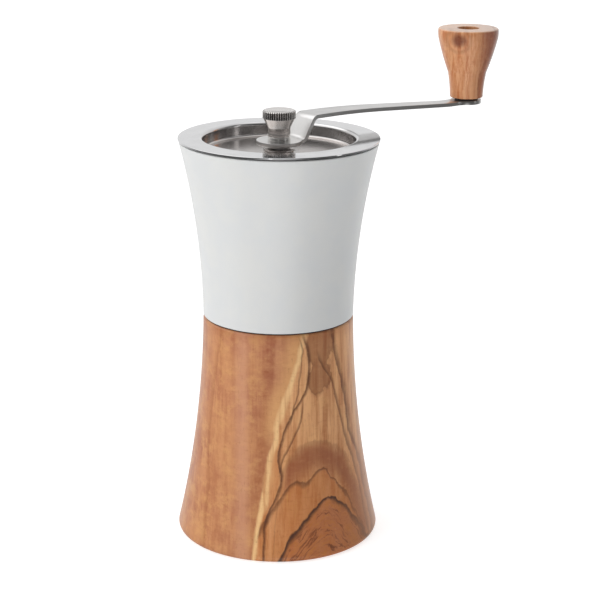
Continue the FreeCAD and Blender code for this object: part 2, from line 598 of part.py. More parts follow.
def make_knob_axle():
    """Bolt through the knob, riveted flush in the strap, with a slotted pan head in the recess."""
    head_z = RECESS_FLOOR_Z + 0.15
    axle = turned((0, SEAT_TOP_Z - ARM_T), (AXLE_R, SEAT_TOP_Z - ARM_T), (AXLE_R, head_z), (4.2, head_z),
                  (4.2, head_z + 1.5), (3.9, head_z + 2.1, 3.1, head_z + 2.3), (0, head_z + 2.45))
    slot = box(-5, 5, -0.45, 0.45, head_z + 1.3, head_z + 3)
    axle = axle.cut(slot)
    axle.translate(Vector(ARM_REACH, 0, 0))
    return axle


def make_knob_washer():
    washer = tube(AXLE_R + RUNNING_FIT, 5.2, SEAT_TOP_Z, KNOB_FOOT_Z - 0.1)
    washer.translate(Vector(ARM_REACH, 0, 0))
    return washer


def build():
    """Every node of the grinder, by name."""
    return {
        "base_cup": make_base_cup(),
        "thread_insert": make_thread_insert(),
        "seam_gasket": make_seam_gasket(),
        "upper_shell": make_upper_shell(),
        "burr_housing": make_burr_housing(),
        "outer_burr": make_outer_burr(),
        "hopper_liner": make_hopper_liner(),
        "bearing_bridge": make_bearing_bridge(),
        "upper_bush": make_bush(HUB_TOP_Z, HUB_TOP_Z - 6),
        "lower_bush": make_bush(HUB_FOOT_Z, HUB_FOOT_Z + 6),
        "housing_screws": make_housing_screws(),
        "drive_shaft": make_drive_shaft(),
        "thrust_washer": tube(SHAFT_R + SLIP_FIT, WASHER_R, HUB_TOP_Z + FLANGE_T + 0.05, CLIP_Z),
        "retaining_clip": make_retaining_clip(),
        "spring_washer": tube(SHAFT_R + SLIP_FIT, WASHER_R, SPRING_TOP_Z, HUB_FOOT_Z - FLANGE_T - 0.05),
        "burr_spring": make_burr_spring(),
        "inner_burr": make_inner_burr(),
        "click_washer": make_click_washer(),
        "adjust_dial": make_adjust_dial(),
        "dial_nut": make_dial_nut(),
        "hopper_lid": make_hopper_lid(),
        "lid_grommet": make_lid_grommet(),
        "arm_hub": make_arm_hub(),
        "crank_arm": make_crank_arm(),
        "thumb_washer": make_thumb_washer(),
        "thumb_screw": make_thumb_screw(),
        "knob_axle": make_knob_axle(),
        "knob_washer": make_knob_washer(),
        "knob_sleeve": make_knob_sleeve(),
        "knob": make_knob(),
    }


os.makedirs("parts", exist_ok=True)
for node, shape in build().items():
    solids = len(shape.Solids)
    wanted = 3 if node == "housing_screws" else 1
    state = "ok" if shape.isValid() and solids == wanted else "CHECK"
    print("%-16s %s %d solid(s) %10.1f mm3" % (node, state, solids, shape.Volume))
    if solids == 1:
        shape = shape.Solids[0]
    shape.exportStep("parts/%s.step" % node)
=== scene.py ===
"""Looks of the hand crank coffee grinder: fine turned meshes, wood and metal, studio, camera.

Blender's unit is the metre. Outlines and material patterns are written in millimetres.
"""
import json
import math

import bmesh
import bpy
from mathutils import Matrix, Vector


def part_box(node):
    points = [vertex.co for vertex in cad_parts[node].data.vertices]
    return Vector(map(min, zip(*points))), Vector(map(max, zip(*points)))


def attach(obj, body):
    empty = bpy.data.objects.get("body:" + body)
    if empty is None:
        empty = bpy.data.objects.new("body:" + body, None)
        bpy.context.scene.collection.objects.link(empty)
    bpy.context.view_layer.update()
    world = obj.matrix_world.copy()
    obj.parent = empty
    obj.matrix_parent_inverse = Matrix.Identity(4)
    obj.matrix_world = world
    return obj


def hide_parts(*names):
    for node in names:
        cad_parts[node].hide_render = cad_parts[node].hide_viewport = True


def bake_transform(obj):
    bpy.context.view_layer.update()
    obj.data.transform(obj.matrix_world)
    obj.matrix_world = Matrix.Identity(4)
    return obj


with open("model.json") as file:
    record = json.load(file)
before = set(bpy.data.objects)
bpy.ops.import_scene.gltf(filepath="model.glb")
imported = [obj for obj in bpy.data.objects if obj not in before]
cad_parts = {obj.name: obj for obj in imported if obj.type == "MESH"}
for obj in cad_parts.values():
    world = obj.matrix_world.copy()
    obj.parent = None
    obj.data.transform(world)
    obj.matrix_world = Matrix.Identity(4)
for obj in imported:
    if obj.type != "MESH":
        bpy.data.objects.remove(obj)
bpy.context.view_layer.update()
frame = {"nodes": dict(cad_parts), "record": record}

MM = 0.001
NODES = frame["nodes"]

FRONT_TURN = math.radians(37.5)    # the crank points this far behind the camera's right
RIGHT = Vector((math.cos(FRONT_TURN), -math.sin(FRONT_TURN), 0.0))    # level, from the camera
AHEAD = Vector((math.sin(FRONT_TURN), math.cos(FRONT_TURN), 0.0))
UP = Vector((0.0, 0.0, 1.0))


def span(node):
    """Lowest and highest corner of a CAD node, in millimetres."""
    low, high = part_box(node)
    return low / MM, high / MM


# ---- sizes that a mesh and a material share, in millimetres ----
LID_WELL_R = 31.8    # inside of the lid's sunk wall
CAP_R, RIDGES = 6.95, 44    # knurled cap of the thumb screw
screw_low, screw_high = span("thumb_screw")
KNURL_Z0, KNURL_Z1 = screw_high.z - 3.3, screw_high.z - 0.65


# ---- outlines, as (r, z, rounding) in millimetres, and the meshes turned from them ----
def circle_of(a, b, c):
    """Centre and radius of the circle through three points."""
    (ax, ay), (bx, by), (cx, cy) = a, b, c
    d = 2 * (ax * (by - cy) + bx * (cy - ay) + cx * (ay - by))
    a2, b2, c2 = ax * ax + ay * ay, bx * bx + by * by, cx * cx + cy * cy
    x = (a2 * (by - cy) + b2 * (cy - ay) + c2 * (ay - by)) / d
    y = (a2 * (cx - bx) + b2 * (ax - cx) + c2 * (bx - ax)) / d
    return x, y, math.hypot(ax - x, ay - y)


def arc(a, b, c, steps, inset=0.0):
    """Corners along the arc from a through b to c, ends included, moved inwards by inset."""
    x, y, radius = circle_of(a, b, c)
    first, middle, last = (math.atan2(p[1] - y, p[0] - x) for p in (a, b, c))
    turn = 2 * math.pi
    sweep = (last - first) % turn
    if (middle - first) % turn > sweep:
        sweep -= turn
    away = 1.0 if x > a[0] else -1.0
    radius += away * inset
    angles = [first + sweep * i / steps for i in range(steps + 1)]
    return [(x + radius * math.cos(angle), y + radius * math.sin(angle), 0.0) for angle in angles]


def edged(side, first, last):
    """The side with these roundings at its first and last corner."""
    return [side[0][:2] + (first,)] + side[1:-1] + [side[-1][:2] + (last,)]


def rounded(corners, closed):
    """Points of the outline, with a tangent arc in the place of each corner that has a rounding."""
    out = []
    count = len(corners)
    for i, (r, z, radius) in enumerate(corners):
        here = Vector((r, z))
        if radius <= 0 or (not closed and i in (0, count - 1)):
            out.append(here)
            continue
        before = Vector(corners[i - 1][:2]) - here
        after = Vector(corners[(i + 1) % count][:2]) - here
        half = before.angle(after) / 2
        reach = min(radius / math.tan(half), before.length * 0.49, after.length * 0.49)
        radius = reach * math.tan(half)
        inwards = (before.normalized() + after.normalized()).normalized()
        middle = here + inwards * (radius / math.sin(half))
        start = here + before.normalized() * reach - middle
        swing = start.angle_signed(here + after.normalized() * reach - middle)
        steps = max(3, round(abs(math.degrees(swing)) / 12))
        for k in range(steps + 1):
            spoke = start.copy()
            spoke.rotate(Matrix.Rotation(-swing * k / steps, 2))
            out.append(middle + spoke)
    return out


def as_object(bm, name):
    """The mesh as an object in the scene."""
    mesh = bpy.data.meshes.new(name)
    bm.to_mesh(mesh)
    bm.free()
    piece = bpy.data.objects.new(name, mesh)
    bpy.context.scene.collection.objects.link(piece)
    return piece


def smooth_object(bm, name, sharp):
    """The mesh as an object, smooth except at edges above this angle in degrees."""
    bmesh.ops.recalc_face_normals(bm, faces=bm.faces)
    piece = as_object(bm, name)
    piece.data.shade_smooth()
    piece.data.set_sharp_from_angle(angle=math.radians(sharp))
    return piece


def turned(name, corners, closed=True, centre_x=0.0, segments=192, wave=None):
    """Mesh of revolution with face-weighted normals. wave(angle, radius, z) is added to the radius."""
    bm = bmesh.new()
    rings = []
    for r, z in rounded(corners, closed):
        if r < 1e-6:
            rings.append([bm.verts.new((centre_x * MM, 0, z * MM))])
            continue
        ring = []
        for k in range(segments):
            a = 2 * math.pi * k / segments
            rr = r + (wave(a, r, z) if wave else 0.0)
            x, y = centre_x + rr * math.cos(a), rr * math.sin(a)
            ring.append(bm.verts.new((x * MM, y * MM, z * MM)))
        rings.append(ring)
    for low, high in zip(rings, rings[1:] + rings[:1] if closed else rings[1:]):
        for k in range(segments):
            n = (k + 1) % segments
            quad = [low[k % len(low)], low[n % len(low)], high[n % len(high)], high[k % len(high)]]
            face = list(dict.fromkeys(quad))
            if len(face) > 2:
                bm.faces.new(face)
    piece = smooth_object(bm, name, 40)
    weigh = piece.modifiers.new("even_normals", "WEIGHTED_NORMAL")
    weigh.keep_sharp = True
    weigh.weight = 90
    return piece


def helix(name, low_z, high_z, coil_r, wire_r, coils):
    """Round wire wound upwards from low_z to high_z, with flat ends."""
    stations, sides = 64, 14    # of one turn, and of the wire's section
    rise, count = high_z - low_z - 2 * wire_r, coils * stations
    pitch_angle = math.atan2(rise / coils, 2 * math.pi * coil_r)
    bm = bmesh.new()
    wire = []
    for i in range(count + 1):
        turn = 2 * math.pi * i / stations
        out = Vector((math.cos(turn), math.sin(turn), 0.0))
        back = Vector((math.sin(turn), -math.cos(turn), 0.0))
        lean = back * math.sin(pitch_angle) + UP * math.cos(pitch_angle)
        middle = out * coil_r + UP * (low_z + wire_r + rise * i / count)
        angles = [2 * math.pi * k / sides for k in range(sides)]
        wire.append([bm.verts.new((middle + (out * math.cos(a) + lean * math.sin(a)) * wire_r) * MM)
                     for a in angles])
    for before, after in zip(wire, wire[1:]):
        for k in range(sides):
            n = (k + 1) % sides
            bm.faces.new((before[k], before[n], after[n], after[k]))
    bm.faces.new(wire[0])
    bm.faces.new(wire[-1])
    return smooth_object(bm, name, 50)


def stand_for(piece, node, body, material):
    """The piece rides on the node's body and is shown in its place."""
    piece.data.materials.append(material)
    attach(piece, body)
    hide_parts(node)


# ---- shader graphs ----
WHITE = (1.0, 1.0, 1.0, 1.0)


def shade(*display):
    """Linear colour from red, green and blue as displayed, 0 to 255."""
    linear = [((c / 255 + 0.055) / 1.055) ** 2.4 if c > 10 else c / 255 / 12.92 for c in display]
    return tuple(linear) + (1.0,)


class Nodes:
    """Nodes of a material or world. Each method adds what it needs and returns its output."""

    def __init__(self, owner, coordinates):
        owner.use_nodes = True
        self.tree = owner.node_tree
        self.tree.nodes.clear()
        self.point = self.add("ShaderNodeTexCoord").outputs[coordinates]

    def add(self, kind, values=None, **settings):
        """A node with these inputs, each a constant or the output of another node."""
        node = self.tree.nodes.new(kind)
        for key, value in settings.items():
            setattr(node, key, value)
        for key, value in (values or {}).items():
            if isinstance(value, bpy.types.NodeSocket):
                self.tree.links.new(value, node.inputs[key])
            else:
                node.inputs[key].default_value = value
        return node

    def vector(self, operation, values):
        return self.add("ShaderNodeVectorMath", values, operation=operation)

    def calc(self, operation, *values):
        return self.add("ShaderNodeMath", dict(enumerate(values)), operation=operation).outputs[0]

    def plus(self, a, b):
        return self.calc("ADD", a, b)

    def minus(self, a, b):
        return self.calc("SUBTRACT", a, b)

    def times(self, a, b):
        return self.calc("MULTIPLY", a, b)

    def over(self, a, b):
        return self.calc("DIVIDE", a, b)

    def away(self, a, b):
        """Length of the two together, as the long side of a right-angled triangle."""
        return self.calc("SQRT", self.plus(self.times(a, a), self.times(b, b)))

    def along(self, direction):
        """How far the point lies along a direction."""
        return self.vector("DOT_PRODUCT", {0: self.point, 1: direction}).outputs["Value"]

    def step(self, value, start, end, low=0.0, high=1.0):
        """Smooth step of value from start to end."""
        values = {"Value": value, "From Min": start, "From Max": end, "To Min": low, "To Max": high}
        return self.add("ShaderNodeMapRange", values, interpolation_type="SMOOTHSTEP").outputs[0]


class Graph(Nodes):
    """Nodes of a new material, whose patterns are laid out in millimetres of the object."""

    def __init__(self, name):
        self.material = bpy.data.materials.new(name)
        super().__init__(self.material, "Object")
        self.point = self.vector("SCALE", {0: self.point, "Scale": 1 / MM}).outputs[0]
        self.x, self.y, self.z = self.add("ShaderNodeSeparateXYZ", {0: self.point}).outputs

    def stretch(self, sx, sy, sz):
        """The point multiplied along each axis."""
        return self.vector("MULTIPLY", {0: self.point, 1: (sx, sy, sz)}).outputs[0]

    def join(self, x, y, z):
        return self.add("ShaderNodeCombineXYZ", {0: x, 1: y, 2: z}).outputs[0]

    def noise(self, place, detail, rough, distortion=0.0):
        values = {"Vector": place, "Scale": 1.0, "Detail": detail, "Roughness": rough,
                  "Distortion": distortion}
        return self.add("ShaderNodeTexNoise", values).outputs[0]

    def shifted(self, value, pattern, amount):
        """The value, moved up and down by a pattern of 0 to 1."""
        return self.plus(value, self.times(self.minus(pattern, 0.5), amount))

    def band(self, value, soft_in, soft_out):
        """1 where value is 0, falling to 0 at -soft_in and at soft_out."""
        return self.times(self.step(value, -soft_in, 0.0), self.step(value, 0.0, soft_out, 1.0, 0.0))

    def line(self, value, points, low, high, out_low=-50.0, out_high=50.0):
        """A smooth curve through (value, result) points."""
        node = self.add("ShaderNodeFloatCurve", {"Value": self.over(self.minus(value, low), high - low)})
        curve = node.mapping.curves[0]
        fitted = [((x - low) / (high - low), (y - out_low) / (out_high - out_low))
                  for x, y in sorted(points)]
        curve.points[0].location, curve.points[1].location = fitted[0], fitted[-1]
        for spot in fitted[1:-1]:
            curve.points.new(*spot)
        node.mapping.update()
        return self.plus(self.times(node.outputs[0], out_high - out_low), out_low)

    def mix(self, factor, a, b):
        return self.add("ShaderNodeMix", {0: factor, 6: a, 7: b}, data_type="RGBA").outputs[2]

    def bump(self, height, distance, strength):
        values = {"Height": height, "Distance": distance * MM, "Strength": strength}
        return self.add("ShaderNodeBump", values).outputs[0]

    def finish(self, **inputs):
        """The material, as a principled shader with these inputs."""
        named = {key.replace("_", " "): value for key, value in inputs.items()}
        shader = self.add("ShaderNodeBsdfPrincipled", named)
        self.add("ShaderNodeOutputMaterial", {"Surface": shader.outputs[0]})
        return self.material


# ---- wood ----
def fibre(g, across, depth, up, coarse):
    """Fine streaks along the grain: values around 0.5."""
    place = g.join(g.times(across, coarse), g.times(depth, coarse * 0.5), g.times(up, coarse * 0.035))
    return g.noise(place, 5.0, 0.62)


def wood_finish(g, colour, across, depth, up, value, roughness, coat, coat_roughness):
    """Pores, cross flecks and oiled surface over a wood colour."""
    pore_place = g.join(g.times(across, 2.6), g.times(depth, 2.6), g.times(up, 0.28))
    pores = g.step(g.noise(pore_place, 2.0, 0.5), 0.60, 0.74)
    fleck_place = g.join(g.times(across, 0.30), g.times(depth, 0.30), g.times(up, 0.80))
    flecks = g.noise(fleck_place, 3.0, 0.6)
    colour = g.mix(g.times(pores, 0.20), colour, shade(104, 56, 32))
    colour = g.mix(g.step(flecks, 0.50, 0.78, 0.0, 0.16), colour, shade(226, 166, 116))
    colour = g.mix(g.step(flecks, 0.24, 0.48, 0.16, 0.0), colour, shade(146, 82, 50))
    toned = {"Saturation": 1.08, "Value": value, "Color": colour}
    colour = g.add("ShaderNodeHueSaturation", toned).outputs[0]
    fine = fibre(g, across, depth, up, 3.2)
    height = g.minus(g.times(fine, 0.6), g.times(pores, 0.8))
    rough = g.plus(g.shifted(roughness, flecks, 0.16), g.times(pores, 0.10))
    return g.finish(Base_Color=colour, Roughness=rough, Normal=g.bump(height, 0.035, 0.55), IOR=1.46,
                    Coat_Weight=coat, Coat_Roughness=coat_roughness, Coat_IOR=1.48)


def olive_wood():
    """Reddish heartwood on the left, a pale seam, then honey wood with dark veins and nested arches."""
    g = Graph("olive_wood")
    u, w, z = g.along(RIGHT), g.along(AHEAD), g.z
    sway = g.noise(g.stretch(0.055, 0.055, 0.05), 2.0, 0.5)
    ripple = g.noise(g.stretch(0.34, 0.34, 0.16), 3.0, 0.6)
    moved = g.shifted(g.shifted(u, sway, 2.2), ripple, 1.5)
    drift = g.noise(g.stretch(0.12, 0.12, 0.12), 3.0, 0.6)
    risen = g.shifted(g.shifted(z, ripple, 2.6), drift, 5.0)

    def grain_line(*points):
        """Place across the grain, by height: a line that runs up the wood."""
        return g.line(z, points, 0.0, 100.0)

    def arch_line(*points):
        """Height, by place across the grain: a line that rises and falls again."""
        return g.line(moved, points, -4.0, 44.0, 0.0, 100.0)

    seam = grain_line((2, -10.5), (14, -9), (24, -7), (34, -5.5), (43, -4.5), (52, -1.5), (60, -1),
                      (69, 1.5), (79, 5.5), (95, 9))
    vein_b = grain_line((3, -6), (15, -5), (22, -3), (28, 0), (36, 1.5), (44, 0.5), (55, 2.5),
                        (63, 5.5), (70, 10), (76, 12), (86, 12.5), (96, 10))
    vein_b3 = grain_line((36, 1), (44, 2.6), (50, 5.6), (57, 8.5), (63, 10), (72, 10.5), (90, 10.5))
    vein_b1 = grain_line((55, 4), (64, 6), (72, 8), (79, 9), (86, 9.4), (90, 10), (96, 8))
    vein_d1 = grain_line((4, 41), (12, 39.5), (20, 37.5), (35, 34.5), (51, 30), (64, 28), (77, 25.5),
                         (88, 23.3), (97, 22))
    vein_d2 = grain_line((4, 39.5), (18, 36.5), (33, 33), (45, 29.5), (56, 26.4), (67, 24),
                         (76, 21.8), (82, 18.5), (97, 15))
    arch_1 = arch_line((1, 30), (3.6, 42), (9.6, 48.5), (15.6, 50.5), (22.4, 48), (28, 42), (32, 32),
                       (35, 22), (39, 6))
    arch_2 = arch_line((4, 31), (7, 34), (11.7, 33), (15.7, 36.5), (19.4, 38.5), (23, 34), (27, 28.5),
                       (31.6, 21), (36.7, 8), (40, 1))
    arch_3 = arch_line((0.5, 0), (2.5, 4), (5, 10), (8.4, 14), (12, 18.5), (16, 22.5), (21, 25),
                       (26.7, 22), (31, 16.5), (35, 10), (40, 0))

    # plain side
    streaks = fibre(g, u, w, z, 0.42)
    thin = fibre(g, u, w, z, 1.5)
    clouds = g.noise(g.stretch(0.045, 0.045, 0.075), 3.0, 0.6)
    plain = g.mix(g.step(streaks, 0.34, 0.66), shade(174, 115, 86), shade(196, 140, 105))
    blotch = g.noise(g.stretch(0.13, 0.13, 0.17), 4.0, 0.68)
    plain = g.mix(g.step(blotch, 0.46, 0.66, 0.0, 0.60), plain, shade(212, 162, 114))
    plain = g.mix(g.step(blotch, 0.30, 0.46, 0.42, 0.0), plain, shade(164, 102, 76))
    plain = g.mix(g.step(clouds, 0.40, 0.64, 0.0, 0.35), plain, shade(212, 158, 112))
    rosy = g.band(g.plus(moved, 14.8), 5.0, 4.5)
    plain = g.mix(g.times(rosy, 0.55), plain, shade(206, 154, 128))
    red_place = grain_line((2, -8.5), (23, -8.2), (40, -7.6), (57, -5), (74, -4.5), (91, -4))
    red_streak = g.band(g.minus(moved, red_place), 4.2, 5.2)
    reddish = g.times(red_streak, g.step(blotch, 0.30, 0.62, 1.0, 0.45))
    plain = g.mix(g.times(reddish, 0.80), plain, shade(150, 82, 58))
    old_place = grain_line((5, 31), (28, 29.5), (48, 29), (84, 25))    # left of the middle
    old_line = g.band(g.plus(moved, old_place), 1.6, 0.5)
    plain = g.mix(g.times(old_line, 0.35), plain, shade(150, 92, 62))
    edge_red = g.step(u, -38.0, -27.0, 1.0, 0.0)
    plain = g.mix(g.times(edge_red, g.step(z, 55.0, 90.0, 0.0, 0.45)), plain, shade(160, 98, 72))

    # figured side
    honey = g.mix(g.step(streaks, 0.30, 0.66), shade(188, 128, 88), shade(232, 178, 132))
    honey = g.mix(g.step(thin, 0.52, 0.76, 0.0, 0.34), honey, shade(150, 96, 62))
    honey = g.mix(g.step(blotch, 0.48, 0.68, 0.0, 0.35), honey, shade(228, 178, 126))
    lower = g.step(g.shifted(z, clouds, 30.0), 12.0, 58.0, 0.70, 0.0)
    honey = g.mix(g.times(lower, 0.6), honey, shade(190, 116, 68))

    # dark lobes that hang from the mouth
    def blot(at_u, at_z, half_u, half_z):
        """Distance from a blot's middle, 1 at its edge."""
        return g.away(g.over(g.minus(moved, at_u), half_u), g.over(g.minus(z, at_z), half_z))

    lobes = g.calc("MINIMUM", blot(16.0, 77.0, 3.6, 6.6), blot(20.2, 78.0, 2.0, 5.2))
    lobes = g.calc("MINIMUM", lobes, blot(17.5, 92.0, 5.2, 11.0))
    lobes = g.shifted(lobes, ripple, 1.1)
    lobe_edge = g.band(g.minus(lobes, 1.0), 0.22, 0.10)
    honey = g.mix(g.step(lobes, 0.80, 1.35, 0.62, 0.0), honey, shade(142, 88, 58))
    honey = g.mix(g.times(lobe_edge, 0.35), honey, shade(104, 62, 42))

    # nested arches: distance below each arch, and how far it is inside its feet
    below_1, below_2, below_3 = (g.minus(arch, risen) for arch in (arch_1, arch_2, arch_3))
    feet = g.times(g.step(moved, 1.5, 4.5), g.step(moved, 37.5, 41.0, 1.0, 0.0))
    under_first = g.times(g.step(below_1, -1.5, 4.5), g.step(below_1, 7.0, 17.0, 1.0, 0.0))
    honey = g.mix(g.times(g.times(under_first, feet), 0.78), honey, shade(154, 92, 66))
    inner = g.times(g.step(below_2, -1.0, 2.0), feet)
    honey = g.mix(g.times(inner, 0.42), honey, shade(192, 118, 72))
    between = g.times(g.step(below_2, 1.0, 4.0), g.step(below_3, -9.0, -1.0, 1.0, 0.0))
    glints = g.times(g.times(g.step(thin, 0.52, 0.66), between), feet)
    honey = g.mix(g.times(glints, 0.6), honey, shade(204, 146, 92))
    core_feet = g.times(g.step(moved, 0.0, 2.5), g.step(moved, 38.5, 42.0, 1.0, 0.0))
    core = g.times(g.step(below_3, 0.0, 1.6), core_feet)
    honey = g.mix(g.times(core, 0.62), honey, shade(186, 118, 84))
    curl_place = g.join(g.times(moved, 0.10), g.times(w, 0.05), g.times(below_3, 0.30))
    curls = g.noise(curl_place, 5.0, 0.66, 1.4)
    light_curls = g.step(curls, 0.50, 0.62, 0.0, 0.70)
    dark_curls = g.step(curls, 0.36, 0.48, 0.72, 0.0)
    honey = g.mix(g.times(core, light_curls), honey, shade(196, 128, 76))
    honey = g.mix(g.times(core, dark_curls), honey, shade(100, 56, 38))

    # dark veins: one crisp side, one that fades
    arch_spread = g.plus(0.9, g.times(g.calc("ABSOLUTE", g.minus(moved, 21.0)), 0.085))

    def arch_vein(below, size):
        return g.band(g.over(below, g.times(arch_spread, size)), 0.55, 1.7)

    def long_vein(place, crisp, faded, low, high):
        length = g.times(g.step(z, low - 6.0, low), g.step(z, high, high + 6.0, 1.0, 0.0))
        return g.times(g.band(g.minus(moved, place), crisp, faded), length)

    dark = shade(82, 46, 30)
    deep = shade(60, 40, 36)
    for vein, strength, vein_colour in (
            (arch_vein(below_1, 1.4), 0.20, dark),
            (arch_vein(below_2, 0.8), 0.62, dark),
            (arch_vein(below_3, 1.25), 0.92, deep),
            (long_vein(vein_d1, 0.5, 1.8, 0.0, 94.0), 0.66, dark),
            (long_vein(vein_d2, 0.4, 1.4, 0.0, 84.0), 0.58, dark),
            (long_vein(vein_b3, 1.1, 0.5, 40.0, 64.0), 0.62, dark)):
        honey = g.mix(g.times(vein, strength), honey, vein_colour)

    # the two sides meet at the seam, with a pale band on its right
    from_seam = g.minus(moved, seam)
    near_seam = g.times(g.step(from_seam, -9.0, -0.5), g.step(z, 44.0, 62.0, 0.15, 0.75))
    plain = g.mix(near_seam, plain, shade(220, 168, 118))
    colour = g.mix(g.step(from_seam, -0.4, 0.5), plain, honey)
    pale_widths = ((0, 1.6), (14, 1.6), (24, 3.4), (32, 4.4), (44, 3.2), (56, 2.0), (66, 3.2),
                   (79, 1.8), (97, 3.0))
    pale_width = g.line(z, pale_widths, 0.0, 100.0, 0.0, 10.0)
    pale_fade = g.step(g.over(from_seam, pale_width), 0.55, 1.25, 1.0, 0.0)
    pale = g.times(g.step(from_seam, -0.9, 0.6), pale_fade)
    pale = g.times(pale, g.step(streaks, 0.30, 0.62, 0.30, 0.92))
    colour = g.mix(pale, colour, shade(244, 204, 152))
    strip = g.times(g.step(from_seam, 1.5, 3.0), g.step(g.minus(moved, vein_b), -0.8, 0.2, 1.0, 0.0))
    strip_length = g.times(g.step(z, 22.0, 34.0), g.step(z, 60.0, 48.0, 0.0, 0.45))
    colour = g.mix(g.times(strip, strip_length), colour, shade(204, 138, 92))
    colour = g.mix(g.times(long_vein(vein_b, 0.7, 1.5, 2.0, 93.0), 0.78), colour, dark)
    colour = g.mix(g.times(long_vein(vein_b1, 0.9, 0.5, 62.0, 92.0), 0.55), colour, dark)

    mouth = g.step(z, 90.5, 96.5)
    colour = g.mix(g.times(mouth, 0.30), colour, shade(150, 88, 60))
    # painted light: the right side is lightened low down, where the lamps leave it darker
    painted_light_right = g.times(g.step(u, 24.0, 38.0), g.step(z, 30.0, 60.0, 0.5, 0.0))
    colour = g.mix(painted_light_right, colour, shade(196, 138, 100))
    return wood_finish(g, colour, moved, w, z, 0.905, 0.38, 0.30, 0.16)


def knob_wood():
    """Plain straight grain with one dark knot high on the side that faces the camera."""
    g = Graph("knob_wood")
    low, high = span("knob")
    axis_x = (low.x + high.x) / 2
    u, w = g.minus(g.along(RIGHT), axis_x * RIGHT.x), g.minus(g.along(AHEAD), axis_x * AHEAD.x)
    up = g.minus(g.z, high.z)
    ripple = g.noise(g.stretch(0.30, 0.30, 0.14), 3.0, 0.6)
    moved = g.shifted(u, ripple, 1.6)
    streaks = fibre(g, moved, w, up, 0.9)
    colour = g.mix(g.step(streaks, 0.32, 0.68), shade(184, 118, 80), shade(214, 162, 124))
    # painted shade: the knob's right side darkens towards its edge
    colour = g.mix(g.step(moved, 0.0, 10.0, 0.0, 0.85), colour, shade(134, 84, 70))
    # painted highlight: pale cream on the top of the knob
    colour = g.mix(g.step(up, -0.6, -0.1, 0.0, 0.55), colour, shade(238, 204, 176))
    warm = g.band(g.minus(moved, 3.0), 3.0, 2.5)
    colour = g.mix(g.times(warm, 0.35), colour, shade(214, 166, 128))
    knot_place = g.away(g.over(g.plus(moved, 5.2), 3.6), g.over(g.plus(up, 4.0), 3.8))
    knot = g.step(g.shifted(knot_place, ripple, 0.7), 0.35, 1.25, 1.0, 0.0)
    front = g.step(w, -3.0, 1.0, 1.0, 0.0)
    colour = g.mix(g.times(g.times(knot, front), 0.85), colour, shade(110, 58, 44))
    halo = g.times(g.band(g.minus(knot_place, 1.35), 0.35, 0.5), front)
    colour = g.mix(g.times(halo, 0.30), colour, shade(128, 78, 54))
    vein_place = g.line(up, [(-31, 4.5), (-20, 5.2), (-12, 7.5), (-4, 10.5), (0, 11)], -32.0, 2.0)
    vein = g.band(g.minus(moved, vein_place), 0.5, 1.5)
    colour = g.mix(g.times(vein, 0.45), colour, shade(120, 74, 52))
    return wood_finish(g, colour, moved, w, up, 0.98, 0.32, 0.55, 0.13)


# ---- plastics, metals, ceramic ----
def moulded(name, colour, tint, roughness, grain, depth, coat=0.0):
    """Moulded plastic or rubber: faint mottling, fine surface grain and slightly uneven gloss."""
    g = Graph(name)
    cloud = g.noise(g.stretch(0.09, 0.09, 0.09), 3.0, 0.6)
    fine = g.noise(g.stretch(grain, grain, grain), 2.0, 0.5)
    smear = g.noise(g.stretch(0.05, 0.05, 0.16), 4.0, 0.65, 0.6)
    mixed = g.mix(g.step(cloud, 0.30, 0.70), colour, tint)
    return g.finish(Base_Color=mixed, Roughness=g.shifted(roughness, smear, roughness * 0.35),
                    Normal=g.bump(fine, depth, 0.5), Coat_Weight=coat, Coat_Roughness=0.08)


def steel(name, colour, roughness, line_way, lines, depth, well_roughness=None, knurled=False):
    """Bare metal: fine working lines along or around it, small scratches, uneven polish.

    line_way is "round" or "long". well_roughness is for the lid, whose sunk part is duller than its
    rim and has painted shade: a darker, brownish tint. knurled is for the thumb screw, whose grooves
    have painted shade: a near-black tint in their depths.
    """
    g = Graph(name)
    radius = g.away(g.x, g.y)
    if line_way == "round":
        place = g.join(g.times(radius, lines), 0.0, g.times(g.z, lines))
    else:
        place = g.stretch(lines * 0.02, lines, lines)
    worked = g.noise(place, 4.0, 0.6)
    haze = g.noise(g.stretch(0.12, 0.12, 0.12), 4.0, 0.6)
    scratch = g.step(g.noise(g.stretch(0.25, 5.5, 1.5), 2.0, 0.5, 0.5), 0.66, 0.72)
    darker = tuple(c * 0.93 for c in colour[:3]) + (1.0,)
    tint = g.mix(g.step(haze, 0.3, 0.7), colour, darker)
    if knurled:
        # painted shade: a near-black tint in the depths of the knurl's grooves
        turn = g.calc("COSINE", g.times(g.calc("ARCTAN2", g.y, g.x), RIDGES))
        groove = g.times(g.step(turn, -0.35, 0.55, 1.0, 0.0), g.step(radius, CAP_R - 0.7, CAP_R - 0.5))
        groove = g.times(groove, g.step(g.z, KNURL_Z0 - 0.05, KNURL_Z0 + 0.05))
        tint = g.mix(g.times(groove, 0.92), tint, (0.08, 0.075, 0.07, 1.0))
    if well_roughness is not None:
        well = g.step(radius, LID_WELL_R - 0.8, LID_WELL_R + 1.2, 1.0, 0.0)
        roughness = g.plus(roughness, g.times(well, well_roughness - roughness))
        # painted shade: the sunk part of the lid gets a darker, brownish tint for the dark look of its
        # recess
        tint = g.mix(well, tint, (0.58, 0.545, 0.525, 1.0))
    rough = g.shifted(g.shifted(roughness, worked, 0.08), haze, 0.06)
    rough = g.plus(rough, g.times(scratch, 0.05))
    return g.finish(Base_Color=tint, Metallic=1.0, Roughness=rough, Normal=g.bump(worked, depth, 0.6))


